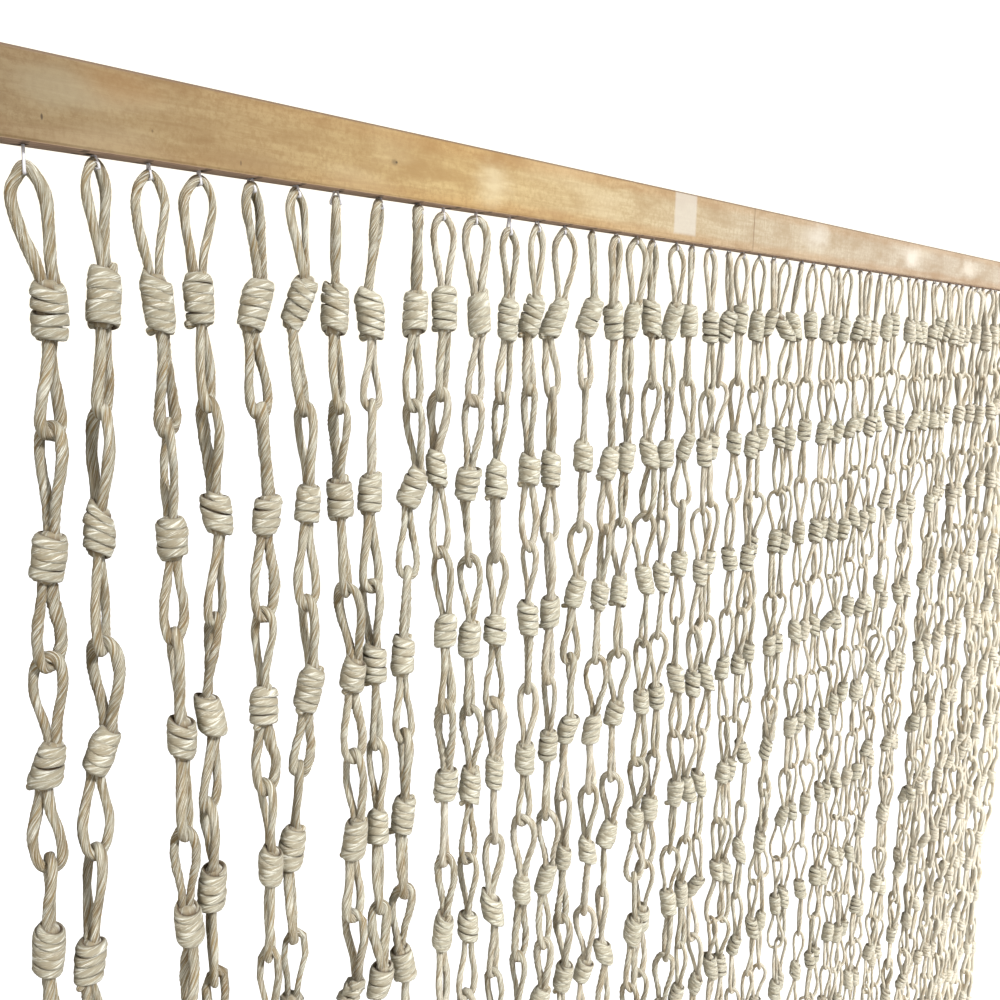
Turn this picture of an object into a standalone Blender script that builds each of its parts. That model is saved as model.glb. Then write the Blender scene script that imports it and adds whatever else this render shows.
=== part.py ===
"""A door curtain: chains of knotted natural-fibre cord that hang from a flat wooden rail.

Metres, +Z up. +X runs along the rail, +Y points to the wall behind it. The origin is the
centre of the rail's rear face.
"""

import math

import bmesh
import bpy
from mathutils import Matrix, Vector

# The rail: a planed wooden lath with a groove sawn along its underside
STRANDS = 56
HOLE_PITCH = 0.020
END_MARGIN = 0.020
RAIL_LENGTH = (STRANDS - 1) * HOLE_PITCH + 2 * END_MARGIN
RAIL_HEIGHT = 0.0265
RAIL_DEPTH = 0.011
RAIL_EDGE = 0.0012
GROOVE_WIDTH = 0.0032
GROOVE_DEPTH = 0.0035
GROOVE_END = 0.008

# The tie strip: it fills the groove in two halves, and every strand's tie is fixed in it
GAP = 0.0003
STRIP_HALVES = 2

# One strand: knotted links of one cord, each hooked through the loop above it
LINKS = 23
LINK_PITCH = 0.075
FIRST_KNOT = 0.0445
KNOT_LENGTH = 0.0195
KNOT_RADIUS = 0.0070
WAIST_RADIUS = 0.0036
LOOP_REACH = 0.0316
CORD_RADIUS = 0.0022
TIE_RADIUS = 0.0008
SIDES = 3

# The open top loop below its tie
TIE_END = 0.0026
LOOP_HALF_WIDTH = 0.0049
LOOP_LEG = (
    # share of the half width, share of the length down from the loop's top, lean in degrees
    (0.85, 0.20, 25),
    (0.62, 0.80, -12),
)

# A strand that isn't in the table below sways by two slow waves down its length
SWAY = 0.0021
RIPPLE = 0.0012
SWAY_LENGTH = 0.83
RIPPLE_LENGTH = 0.31
SWAY_PHASE = 2.4
RIPPLE_PHASE = 4.1
ACROSS = 0.8
FORTH = -0.35
EASE = 0.6
TURN_STEP = 47.0
TURN_RANGE = 80.0

# The strands past LEAN_FROM hang a little to the right of plumb, and all past LEAN_FULL alike
LEAN_FROM = 8
LEAN_FULL = 34
LEAN_SLOPE = 0.055
LEAN_DEPTH = 0.9

# How the strands near the left end hang, in millimetres towards +X of plumb, with the turn of
# the top loop from the rail's length in degrees
HANG = {
    # strand: (turn, at the rail, knot 1, knot 2, knot 3, knot 4)
    1: (-24, 0.0, 5.5, 1.3, -2.6, -6.0),
    2: (20, 2.2, 3.6, -1.5, -3.9, -12.0),
    3: (-8, 0.4, 2.4, 4.6, 6.0, 6.4),
    4: (-10, -1.5, -2.4, 2.3, -2.2, -3.5),
    5: (20, -0.6, 0.5, 3.9, 1.1, 3.1),
    6: (18, -1.0, -0.2, 3.1, 2.8, -6.0),
    7: (46, -2.3, -3.0, -0.9, 5.4, 6.2),
    8: (34, 0.1, -4.0, -3.8, -1.4, 0.5),
    9: (42, 2.2, 1.0, 0.8, -3.8, -3.0),
    10: (-25, -4.5, -2.9, -6.0, -0.1, 1.5),
    11: (-27, -4.0, -1.3, -5.9, -3.0, -1.0),
    12: (-10, -1.0, -0.1, -5.0, -3.5, -2.0),
    13: (5, -1.0, -2.7, -1.6, 0.5, 1.0),
    14: (-32, 0.1, -4.3, -3.6, -1.0, 0.5),
    15: (22, 3.5, 3.7, 3.1, 1.0, -1.0),
    16: (1, 4.5, 5.2, 6.0, 3.0, 1.5),
    17: (-35, 3.6, 2.5, 2.6, 2.0, 2.5),
}
# How much lower than even spacing their knots 1 to 4 hang, in millimetres
LOWER = {
    1: (4.0, 6.0, 0.5, -9.0),
    2: (-0.7, 0.5, 1.5, 4.0),
    3: (0.6, 5.5, 4.5, 2.5),
    4: (-1.4, -0.9, 0.0, -5.5),
    5: (-0.4, 2.5, 2.2, -5.0),
    6: (-2.1, 0.0, 1.0, -7.0),
    7: (0.0, 0.0, 0.0, -1.5),
    8: (1.7, 0.0, 0.0, 0.0),
    10: (-1.9, -7.2, -7.1, -7.0),
}
MM = 0.001
# Below the last knot in those tables, their strands lean as the others do
HANG_END = FIRST_KNOT + 3 * LINK_PITCH

RAIL_TOP = RAIL_HEIGHT / 2
RAIL_UNDERSIDE = -RAIL_HEIGHT / 2
RAIL_MIDDLE_Y = -RAIL_DEPTH / 2


def clear_scene():
    """Start from an empty file."""
    for obj in list(bpy.data.objects):
        bpy.data.objects.remove(obj, do_unlink=True)


def make_collection(name):
    collection = bpy.data.collections.new(name)
    bpy.context.scene.collection.children.link(collection)
    return collection


def make_material(name, colour, roughness):
    material = bpy.data.materials.new(name)
    material.use_nodes = True
    shader = material.node_tree.nodes["Principled BSDF"]
    shader.inputs["Base Color"].default_value = (*colour, 1.0)
    shader.inputs["Roughness"].default_value = roughness
    shader.inputs["Metallic"].default_value = 0.0
    return material


def add_mesh(name, bm, collection, material=None):
    mesh = bpy.data.meshes.new(name)
    bmesh.ops.recalc_face_normals(bm, faces=bm.faces)
    bm.to_mesh(mesh)
    bm.free()
    obj = bpy.data.objects.new(name, mesh)
    collection.objects.link(obj)
    if material:
        mesh.materials.append(material)
    return obj


def add_box(name, low, high, collection, material=None):
    """A box between two corners, with its origin at its centre and its size in the mesh."""
    low, high = Vector(low), Vector(high)
    size = high - low
    bm = bmesh.new()
    bmesh.ops.create_cube(bm, size=1.0)
    bmesh.ops.scale(bm, vec=size, verts=bm.verts)
    obj = add_mesh(name, bm, collection, material)
    obj.location = (low + high) / 2
    return obj


def mark_as_cutter(obj):
    obj.hide_render = True
    obj.display_type = "WIRE"


def strand_x(number):
    """Where a strand's hole lies along the rail."""
    return -RAIL_LENGTH / 2 + END_MARGIN + (number - 1) * HOLE_PITCH


def plain_sway(number, down):
    """Sideways drift of a plain strand, this far below the rail."""
    slow = math.sin(2 * math.pi * down / SWAY_LENGTH + SWAY_PHASE * number)
    quick = math.sin(2 * math.pi * down / RIPPLE_LENGTH + RIPPLE_PHASE * number)
    return SWAY * slow + RIPPLE * quick


def sway(number, row):
    """Sideways drift at a knot: row 0 is the rail, row 1 the first knot, and half rows lie between."""
    down = FIRST_KNOT + (row - 1) * LINK_PITCH if row >= 1 else FIRST_KNOT * row
    plain = plain_sway(number, down)
    if number not in HANG:
        return plain
    steps = HANG[number][1:]
    last = len(steps) - 1
    if row >= last:
        ease = EASE ** (row - last)
        return plain + (steps[last] * MM - plain) * ease
    below = int(row)
    share = row - below
    return (steps[below] * (1 - share) + steps[below + 1] * share) * MM


def lowered(number, row):
    """How much lower than even spacing a strand hangs at a row."""
    if number not in LOWER:
        return 0.0
    steps = (0.0, *LOWER[number])
    last = len(steps) - 1
    if row >= last:
        return steps[last] * MM * EASE ** (row - last)
    above = int(row)
    share = row - above
    return (steps[above] * (1 - share) + steps[above + 1] * share) * MM


def leaning(number, down):
    """How far to the right of plumb a strand leans, this far below the rail."""
    share = min(max((number - LEAN_FROM) / (LEAN_FULL - LEAN_FROM), 0.0), 1.0)
    start = HANG_END if number in HANG else 0.0
    return share * LEAN_SLOPE * LEAN_DEPTH * (1 - math.exp(-max(down - start, 0.0) / LEAN_DEPTH))


def hang_point(number, row, down):
    """A point on a strand's middle line, this far below the rail's underside if evenly spaced."""
    drift = sway(number, row)
    return Vector(
        (
            strand_x(number) + ACROSS * drift + leaning(number, down),
            RAIL_MIDDLE_Y + FORTH * (drift - sway(number, 0)),
            RAIL_UNDERSIDE - down - lowered(number, row),
        )
    )


def loop_turn(number):
    """The top loop's turn from the rail's length, in radians."""
    if number in HANG:
        return math.radians(HANG[number][0])
    return math.radians((number * TURN_STEP) % TURN_RANGE - TURN_RANGE / 2)


def add_ring(bm, centre, along, across, radius):
    """A triangular section, square to along, with one corner towards across."""
    side = along.cross(across).normalized()
    across = side.cross(along).normalized()
    frame = Matrix((across, side, along.normalized())).transposed().to_4x4()
    frame.translation = centre
    made = bmesh.ops.create_circle(bm, cap_ends=False, segments=SIDES, radius=radius, matrix=frame)
    corners = made["verts"]
    edges = {edge for corner in corners for edge in corner.link_edges}
    return {"corners": corners, "edges": list(edges)}


def add_tube(bm, rings):
    """Bridge each section to the next."""
    for upper, lower in zip(rings, rings[1:]):
        bmesh.ops.bridge_loops(bm, edges=upper["edges"] + lower["edges"])


def add_fork(bm, rings):
    """Join one section to the sections of two legs, with the tightest skin round all three."""
    corners = [corner for ring in rings for corner in ring["corners"]]
    skin = bmesh.ops.convex_hull(bm, input=corners, use_existing_faces=False)
    ends = [set(ring["corners"]) for ring in rings]
    faces = [item for item in skin["geom"] if isinstance(item, bmesh.types.BMFace)]
    lids = [face for face in faces if any(set(face.verts) <= end for end in ends)]
    bmesh.ops.delete(bm, geom=lids, context="FACES_ONLY")


def close_end(bm, ring):
    bmesh.ops.holes_fill(bm, edges=ring["edges"], sides=SIDES)


def add_chain(bm, number):
    """A strand from the top of its first knot down: full at each knot, narrow where links hook."""
    down = Vector((0, 0, -1))
    front = Vector((0, -1 if number % 2 else 1, 0))
    half = KNOT_LENGTH / 2
    rings = []
    for link in range(LINKS):
        knot = FIRST_KNOT + link * LINK_PITCH
        start = knot - half if link == 0 else knot
        end = knot + half + LOOP_REACH if link == LINKS - 1 else knot + LINK_PITCH / 2
        for row, depth, radius in ((1 + link, start, KNOT_RADIUS), (1.5 + link, end, WAIST_RADIUS)):
            rings.append(add_ring(bm, hang_point(number, row, depth), down, front, radius))
    add_tube(bm, rings)
    close_end(bm, rings[-1])
    return rings[0]


def add_top_loop(bm, number, knot_top):
    """The tie and the open loop that the strand hangs by, down to the top of its first knot."""
    down = Vector((0, 0, -1))
    turn = loop_turn(number)
    flat = Vector((math.cos(turn), math.sin(turn), 0))
    normal = Vector((-flat.y, flat.x, 0))
    tie_start = add_ring(bm, hang_point(number, 0, -GROOVE_DEPTH / 2), down, normal, TIE_RADIUS)
    tie_end = add_ring(bm, hang_point(number, 0, TIE_END), down, normal, TIE_RADIUS)
    add_tube(bm, [tie_start, tie_end])
    close_end(bm, tie_start)
    top = FIRST_KNOT - KNOT_LENGTH / 2 - LOOP_REACH
    legs = []
    for side in (-1, 1):
        leg = []
        for wide, share, lean in LOOP_LEG:
            depth = top + share * LOOP_REACH
            outward = flat * side
            centre = hang_point(number, depth / FIRST_KNOT, depth) + outward * wide * LOOP_HALF_WIDTH
            lean = math.radians(lean)
            along = down * math.cos(lean) + outward * math.sin(lean)
            leg.append(add_ring(bm, centre, along, normal, CORD_RADIUS))
        add_tube(bm, leg)
        legs.append(leg)
    add_fork(bm, [tie_end] + [leg[0] for leg in legs])
    add_fork(bm, [knot_top] + [leg[-1] for leg in legs])


def make_rail(collection, cutters, material):
    rail = add_box(
        "rail",
        (-RAIL_LENGTH / 2, -RAIL_DEPTH, RAIL_UNDERSIDE),
        (RAIL_LENGTH / 2, 0, RAIL_TOP),
        collection,
        material,
    )
    bevel = rail.modifiers.new("rounded edges", "BEVEL")
    bevel.width = RAIL_EDGE
    bevel.segments = 2
    reach = RAIL_LENGTH / 2 - GROOVE_END
    groove = add_box(
        "groove_cutter",
        (-reach, RAIL_MIDDLE_Y - GROOVE_WIDTH / 2, RAIL_UNDERSIDE - GROOVE_DEPTH),
        (reach, RAIL_MIDDLE_Y + GROOVE_WIDTH / 2, RAIL_UNDERSIDE + GROOVE_DEPTH),
        cutters,
    )
    mark_as_cutter(groove)
    cut = rail.modifiers.new("groove", "BOOLEAN")
    cut.operation = "DIFFERENCE"
    cut.object = groove
    return rail


def make_strands(name, numbers, collection, helpers, material):
    """One half of the strands, fused at their ties to their half of the tie strip."""
    numbers = list(numbers)
    outer = RAIL_LENGTH / 2 - GROOVE_END - GAP
    inner = GAP / 2
    left = -outer if numbers[0] == 1 else inner
    right = outer if numbers[-1] == STRANDS else -inner
    half_width = GROOVE_WIDTH / 2 - GAP
    strip = add_box(
        name,
        (left, RAIL_MIDDLE_Y - half_width, RAIL_UNDERSIDE + GAP),
        (right, RAIL_MIDDLE_Y + half_width, RAIL_UNDERSIDE + GROOVE_DEPTH - GAP),
        collection,
        material,
    )
    bm = bmesh.new()
    for number in numbers:
        knot_top = add_chain(bm, number)
        add_top_loop(bm, number, knot_top)
    chains = add_mesh(name + "_chains", bm, helpers)
    mark_as_cutter(chains)
    join = strip.modifiers.new("strands joined", "BOOLEAN")
    join.operation = "UNION"
    join.object = chains
    return strip


def main():
    clear_scene()
    curtain = make_collection("chain_door_curtain")
    cutters = make_collection("cutters")
    wood = make_material("wood", (0.60, 0.42, 0.22), 0.55)
    fibre = make_material("fibre_cord", (0.62, 0.55, 0.38), 0.80)
    make_rail(curtain, cutters, wood)
    per_half = STRANDS // STRIP_HALVES
    make_strands("strands_left", range(1, per_half + 1), curtain, cutters, fibre)
    make_strands("strands_right", range(per_half + 1, STRANDS + 1), curtain, cutters, fibre)


main()
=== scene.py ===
"""The looks of a chain door curtain: twisted fibre loops, wrapped knots, thread ties and a wooden rail."""

import math

import bpy
import numpy as np
from mathutils import Matrix, Vector


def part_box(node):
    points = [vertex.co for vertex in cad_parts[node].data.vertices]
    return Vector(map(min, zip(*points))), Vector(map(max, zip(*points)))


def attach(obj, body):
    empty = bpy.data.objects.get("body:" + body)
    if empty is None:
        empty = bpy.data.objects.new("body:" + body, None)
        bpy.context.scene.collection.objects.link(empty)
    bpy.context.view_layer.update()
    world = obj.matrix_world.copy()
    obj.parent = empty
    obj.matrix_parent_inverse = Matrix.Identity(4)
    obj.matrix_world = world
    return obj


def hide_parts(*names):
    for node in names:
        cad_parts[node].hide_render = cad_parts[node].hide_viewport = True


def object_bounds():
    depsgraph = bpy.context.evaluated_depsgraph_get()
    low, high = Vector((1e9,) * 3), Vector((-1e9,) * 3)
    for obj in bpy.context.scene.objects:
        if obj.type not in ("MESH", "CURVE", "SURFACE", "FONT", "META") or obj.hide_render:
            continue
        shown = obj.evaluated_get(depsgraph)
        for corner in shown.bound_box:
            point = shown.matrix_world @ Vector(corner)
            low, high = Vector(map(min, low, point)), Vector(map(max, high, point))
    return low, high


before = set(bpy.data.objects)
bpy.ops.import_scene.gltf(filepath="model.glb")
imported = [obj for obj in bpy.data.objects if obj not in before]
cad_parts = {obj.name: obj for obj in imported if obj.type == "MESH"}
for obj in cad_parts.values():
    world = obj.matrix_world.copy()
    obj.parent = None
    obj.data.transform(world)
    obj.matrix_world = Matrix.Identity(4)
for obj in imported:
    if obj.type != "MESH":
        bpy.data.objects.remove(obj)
cad_bounds = [list(corner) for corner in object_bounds()]

# Everything about the strands is in millimetres until it becomes a mesh
MM = 0.001
rail_low, rail_high = (np.array(corner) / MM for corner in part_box("rail"))
STRANDS = 56
HOLE_PITCH = 20.0
END_MARGIN = 20.0
RAIL_LEFT = rail_low[0]
RAIL_UNDERSIDE = rail_low[2]
RAIL_MIDDLE_Y = (rail_low[1] + rail_high[1]) / 2
GROOVE_WIDTH = 3.2
GROOVE_DEPTH = 3.5
GROOVE_END = 8.0
GAP = 0.3

LINKS = 23
LINK_PITCH = 75.0
FIRST_KNOT = 44.5
KNOT_LENGTH = 19.5
LOOP_REACH = 31.6

# How the strands hang, as in the part's source
SWAY = 2.1
RIPPLE = 1.2
SWAY_LENGTH = 830.0
RIPPLE_LENGTH = 310.0
SWAY_PHASE = 2.4
RIPPLE_PHASE = 4.1
ACROSS = 0.8
FORTH = -0.35
EASE = 0.6
TURN_STEP = 47.0
TURN_RANGE = 80.0
SLACK = 0.75
SLACK_EASE = 0.85
LEAN_FROM = 8
LEAN_FULL = 34
LEAN_SLOPE = 0.055
LEAN_DEPTH = 900.0
HANG = {
    # strand: (turn of the top loop, at the rail, knot 1, knot 2, knot 3, knot 4)
    1: (-24, 0.0, 5.5, 1.3, -2.6, -6.0),
    2: (20, 2.2, 3.6, -1.5, -3.9, -12.0),
    3: (-8, 0.4, 2.4, 4.6, 6.0, 6.4),
    4: (-10, -1.5, -2.4, 2.3, -2.2, -3.5),
    5: (20, -0.6, 0.5, 3.9, 1.1, 3.1),
    6: (18, -1.0, -0.2, 3.1, 2.8, -6.0),
    7: (46, -2.3, -3.0, -0.9, 5.4, 6.2),
    8: (34, 0.1, -4.0, -3.8, -1.4, 0.5),
    9: (42, 2.2, 1.0, 0.8, -3.8, -3.0),
    10: (-25, -4.5, -2.9, -6.0, -0.1, 1.5),
    11: (-27, -4.0, -1.3, -5.9, -3.0, -1.0),
    12: (-10, -1.0, -0.1, -5.0, -3.5, -2.0),
    13: (5, -1.0, -2.7, -1.6, 0.5, 1.0),
    14: (-32, 0.1, -4.3, -3.6, -1.0, 0.5),
    15: (22, 3.5, 3.7, 3.1, 1.0, -1.0),
    16: (1, 4.5, 5.2, 6.0, 3.0, 1.5),
    17: (-35, 3.6, 2.5, 2.6, 2.0, 2.5),
}
# How much lower than even spacing knots 1 to 4 of a strand hang
LOWER = {
    1: (4.0, 6.0, 0.5, -9.0),
    2: (-0.7, 0.5, 1.5, 4.0),
    3: (0.6, 5.5, 4.5, 2.5),
    4: (-1.4, -0.9, 0.0, -5.5),
    5: (-0.4, 2.5, 2.2, -5.0),
    6: (-2.1, 0.0, 1.0, -7.0),
    7: (0.0, 0.0, 0.0, -1.5),
    8: (1.7, 0.0, 0.0, 0.0),
    10: (-1.9, -7.2, -7.1, -7.0),
}
MEASURED_KNOTS = 4
HANG_END = FIRST_KNOT + (MEASURED_KNOTS - 1) * LINK_PITCH
# How far below the rail a top loop starts, which is how much of its thread shows
TOP_GAP = 0.4
EVERY_THIRD_GAP = 0.6
TOP_GAPS = {1: 4.6, 3: 1.4, 5: 0.8, 10: 1.5, 11: 1.3, 12: 4.0}
# How far each chain loop of the nearest strands is turned from facing the camera, in degrees
GAPS = {
    # strand: (below knot 1, above knot 2, below knot 2, above knot 3, below knot 3, above knot 4)
    1: (52, -28, 36, -22, 4, -82),
    2: (62, -68, 79, -28, 44, -62),
    3: (50, -86, 46, -80, 66, -24),
    4: (80, -42, 52, -66, 40, -72),
    5: (36, -86, 58, -30, 44, -50),
    6: (84, -46, 34, -60, 20, -82),
    7: (80, -46, 74, -34, 40, -60),
    8: (40, -82, 40, -36, 70, -30),
    9: (58, -42, 34, -84, 40, -60),
    10: (80, -40, 40, -52, 50, -40),
    11: (50, -24),
    12: (66, -58),
    13: (74, -50),
    14: (45, -84),
    15: (60, -86),
    16: (82, -70),
    17: (80, -40),
}
# How knots 1 to 4 of the nearest strands lean to the camera's right, in degrees
LEANS = {
    1: (0, 2, 13, 0),
    2: (4, 2, 16, 4),
    3: (-5, -4, 0, -2),
    4: (-3, -9, -14, 8),
    5: (15, 3, 4, 0),
    6: (20, 4, 8, 6),
    7: (3, 0, 4, 3),
    8: (-6, 3, 0, 2),
    9: (2, 12, 3, 8),
    10: (-4, 0, 6, 4),
    11: (4, 4, 0, 0),
    12: (0, 3, 0, 0),
    13: (10, 2, 0, 0),
    14: (14, 0, 0, 0),
}


def spot(number, row, down):
    """A point on a strand's middle line. Row 0 is the rail and row 1 the first knot."""
    drift = sway(number, row)
    return np.array((
        RAIL_LEFT + END_MARGIN + (number - 1) * HOLE_PITCH + ACROSS * drift + leaning(number, down),
        RAIL_MIDDLE_Y + FORTH * (drift - sway(number, 0)),
        RAIL_UNDERSIDE - down,
    ))


def leaning(number, down):
    """How far a strand has drifted to the right at a depth. It sets in past the near strands."""
    share = min(max((number - LEAN_FROM) / (LEAN_FULL - LEAN_FROM), 0.0), 1.0)
    start = HANG_END if number in HANG else 0.0
    return share * LEAN_SLOPE * LEAN_DEPTH * (1 - math.exp(-max(down - start, 0.0) / LEAN_DEPTH))


def plain_sway(number, down):
    """Two waves down a strand, for what the photo doesn't show well enough to measure."""
    slow = math.sin(2 * math.pi * down / SWAY_LENGTH + SWAY_PHASE * number)
    quick = math.sin(2 * math.pi * down / RIPPLE_LENGTH + RIPPLE_PHASE * number)
    return SWAY * slow + RIPPLE * quick


def sway(number, row):
    """How far a strand hangs to one side at a row: as in HANG, easing into the waves below it."""
    down = FIRST_KNOT + (row - 1) * LINK_PITCH if row >= 1 else FIRST_KNOT * row
    plain = plain_sway(number, down)
    if number not in HANG:
        return plain
    steps = HANG[number][1:]
    last = len(steps) - 1
    if row >= last:
        return plain + (steps[last] - plain) * EASE ** (row - last)
    below = int(row)
    share = row - below
    return steps[below] * (1 - share) + steps[below + 1] * share


# The camera, at the place and angle worked out from the rail's edges, holes and knots
CAMERA_AT = (RAIL_LEFT * MM - 0.1182, -0.3195, -0.0642)
CAMERA_YAW = 48.557
CAMERA_PITCH = -9.581
CAMERA_ROLL = 1.351
FOCAL_PIXELS = 1007.1
IMAGE_PIXELS = 1000
SENSOR = 36.0


def make_camera():
    """The camera, which sees the curtain as the photo shows it."""
    yaw, pitch, roll = (math.radians(a) for a in (CAMERA_YAW, CAMERA_PITCH, CAMERA_ROLL))
    ahead = Vector((math.sin(yaw) * math.cos(pitch), math.cos(yaw) * math.cos(pitch), math.sin(pitch)))
    level = Vector((math.cos(yaw), -math.sin(yaw), 0))
    above = level.cross(ahead)
    right = level * math.cos(roll) + above * math.sin(roll)
    up = above * math.cos(roll) - level * math.sin(roll)
    data = bpy.data.cameras.new("camera")
    data.sensor_width = SENSOR
    data.lens = FOCAL_PIXELS / IMAGE_PIXELS * SENSOR
    data.clip_start = 0.01
    camera = bpy.data.objects.new("camera", data)
    bpy.context.scene.collection.objects.link(camera)
    turn = Matrix((right, up, -ahead)).transposed().to_4x4()
    camera.matrix_world = Matrix.Translation(CAMERA_AT) @ turn
    bpy.context.scene.camera = camera


# Meshes are made as blocks: corners, four-sided faces with their places along the fibre, and end caps
def unit(vector):
    vector = np.asarray(vector, float)
    return vector / np.linalg.norm(vector, axis=-1, keepdims=True)


def grid_block(corners, across, along, crevice, tone, wrap=0.0):
    """A tube from a grid of corners (rows, columns, 3), closed round and capped at both ends."""
    rows, columns = corners.shape[:2]
    i, j = np.meshgrid(np.arange(rows - 1), np.arange(columns), indexing="ij")
    k = (j + 1) % columns
    faces = np.stack((i * columns + j, i * columns + k, (i + 1) * columns + k, (i + 1) * columns + j), -1)
    seam = across[0] + across[-1] * columns / (columns - 1)
    u = np.broadcast_to(np.append(across, seam), (rows, columns + 1))
    v = np.broadcast_to(along[:, None], (rows, columns + 1))
    place = np.stack((u, v), -1)
    uv = np.stack((place[:-1, :-1], place[:-1, 1:], place[1:, 1:], place[1:, :-1]), 2)
    return {
        "corners": corners.reshape(-1, 3),
        "faces": faces.reshape(-1, 4),
        "uv": uv.reshape(-1, 4, 2),
        "caps": [np.arange(columns)[::-1], (rows - 1) * columns + np.arange(columns)],
        "crevice": np.broadcast_to(crevice, (rows, columns)).reshape(-1),
        "tone": np.full(rows * columns, tone),
        "wrap": np.full(rows * columns, wrap),
    }


def make_piece(name, blocks, material, nodes=()):
    """One object out of many blocks. It rides on the only body and stands for the CAD nodes given."""
    sizes = [len(block["corners"]) for block in blocks]
    starts = np.concatenate(([0], np.cumsum(sizes)[:-1]))
    corners = np.concatenate([block["corners"] for block in blocks]) * MM
    quads = np.concatenate([block["faces"] + start for block, start in zip(blocks, starts)])
    caps = [cap + start for block, start in zip(blocks, starts) for cap in block["caps"]]
    quad_uv = np.concatenate([block["uv"] for block in blocks]).reshape(-1, 2)
    cap_uv = np.zeros((sum(len(cap) for cap in caps), 2))
    loops = np.concatenate([quads.reshape(-1)] + caps).astype(np.int32)
    lengths = np.array([4] * len(quads) + [len(cap) for cap in caps])
    mesh = bpy.data.meshes.new(name)
    mesh.vertices.add(len(corners))
    mesh.vertices.foreach_set("co", corners.astype(np.float32).ravel())
    mesh.loops.add(len(loops))
    mesh.loops.foreach_set("vertex_index", loops)
    mesh.polygons.add(len(lengths))
    mesh.polygons.foreach_set("loop_start", np.concatenate(([0], np.cumsum(lengths)[:-1])).astype(np.int32))
    mesh.polygons.foreach_set("use_smooth", np.ones(len(lengths), bool))
    layer = mesh.uv_layers.new(name="fibre")
    layer.data.foreach_set("uv", np.concatenate((quad_uv, cap_uv)).astype(np.float32).ravel())
    for key in ("crevice", "tone", "wrap"):
        values = np.concatenate([block[key] for block in blocks]).astype(np.float32)
        mesh.attributes.new(key, "FLOAT", "POINT").data.foreach_set("value", values)
    mesh.update(calc_edges=True)
    mesh.validate()
    mesh.materials.append(material)
    piece = bpy.data.objects.new(name, mesh)
    bpy.context.scene.collection.objects.link(piece)
    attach(piece, "root")
    for node in nodes:
        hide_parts(node)
    return piece


def ratio(top, bottom):
    """top / bottom, and 0 where bottom is 0."""
    return np.divide(top, bottom, out=np.zeros(top.shape), where=bottom > 0)


def spline_weights(controls, samples, degree=3):
    """Weights of a clamped B-spline: a row for each sample, a column for each control point."""
    inner = np.linspace(0, 1, controls - degree + 1)
    knots = np.concatenate((np.zeros(degree), inner, np.ones(degree)))
    t = np.linspace(0, 1, samples)[:, None]
    # The last sample lies just inside the last span
    t[-1] -= 1e-9
    weights = ((knots[None, :-1] <= t) & (t < knots[None, 1:])).astype(float)
    for d in range(1, degree + 1):
        rising = ratio(t - knots[: -d - 1], knots[d:-1] - knots[: -d - 1])
        falling = ratio(knots[d + 1 :] - t, knots[d + 1 :] - knots[1:-d])
        weights = rising * weights[:, :-1] + falling * weights[:, 1:]
    return weights


def wobble(rng, t, size, waves=3):
    """A smooth random line over t, about size high."""
    total = np.zeros_like(t)
    for wave in range(1, waves + 1):
        total += np.sin(t * wave * rng.uniform(0.7, 1.3) + rng.uniform(0, 2 * math.pi)) / wave
    return total * size * 0.6


# How a laid cord is made: the share with two plies, the depth of the ridges, the length of one turn
TWO_PLY_SHARE = 0.35
PLY_RELIEF = (0.05, 0.20)
LAY_LENGTH = (17.0, 36.0)
MEAN_RIDGE = 0.7
# How deep the painted shade in the valleys between a cord's plies is
VALLEY_SHADE = 3.2
UNEVENNESS = 0.11
UNEVEN_LENGTH = 5.0
FLATNESS = 0.18
# A cord with no more columns than this isn't wound, and its twist is only painted
COARSE_COLUMNS = 7
# Painted shade near a cord's ends, and in its middle where it hooks through the next
END_SHADE = 2.5
SHADE_FADE = 3.0
MIDDLE_SHADE = 0.5


def sweep_cord(rng, path, flat_normal, radius, columns, tone, shade_at_ends=0.0, taper=1.0):
    """A laid cord along a path. Its plies are ridges that wind round it, or only lines on a coarse one."""
    tangent = unit(np.gradient(path, axis=0))
    side = unit(flat_normal - (tangent @ flat_normal)[:, None] * tangent)
    other = np.cross(tangent, side)
    along = np.concatenate(([0], np.cumsum(np.linalg.norm(np.diff(path, axis=0), axis=1))))
    angle = np.linspace(0, 2 * math.pi, columns, endpoint=False)
    plies = 2 if rng.random() < TWO_PLY_SHARE else 3
    relief = rng.uniform(*PLY_RELIEF)
    lay_length = rng.uniform(*LAY_LENGTH)
    winds = columns > COARSE_COLUMNS
    ridge = np.abs(np.cos(plies * angle / 2)) if winds else np.full(columns, MEAN_RIDGE)
    wound = angle[None, :] + rng.uniform(0, 2 * math.pi)
    if winds:
        wound = wound + 2 * math.pi * along[:, None] / lay_length
    size = radius * taper * (1 + wobble(rng, along / UNEVEN_LENGTH, UNEVENNESS))
    flatness = rng.uniform(0, FLATNESS) * np.cos(2 * (wound - rng.uniform(0, math.pi)))
    reach = size[:, None] * (1 + relief * (ridge - MEAN_RIDGE) + flatness)
    corners = path[:, None] + reach[..., None] * (
        np.cos(wound)[..., None] * side[:, None] + np.sin(wound)[..., None] * other[:, None]
    )
    # Painted shade in the valleys between the plies, near the cord's ends and in its middle
    valley = VALLEY_SHADE * relief * (1 - ridge) ** 2 if winds else np.zeros(columns)
    from_end = np.minimum(along, along[-1] - along)
    from_middle = along - along[-1] / 2
    shade = shade_at_ends * np.exp(-np.maximum(from_end - END_SHADE, 0) / SHADE_FADE)
    shade = shade + MIDDLE_SHADE * shade_at_ends * np.exp(-((from_middle / SHADE_FADE) ** 2))
    crevice = np.clip(valley[None, :] + shade[:, None], 0, 1)
    block = grid_block(corners, angle * radius, along, crevice, tone)
    if not winds:
        block["uv"][..., 0] -= 2 * math.pi * radius / lay_length * block["uv"][..., 1]
    return block


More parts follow.
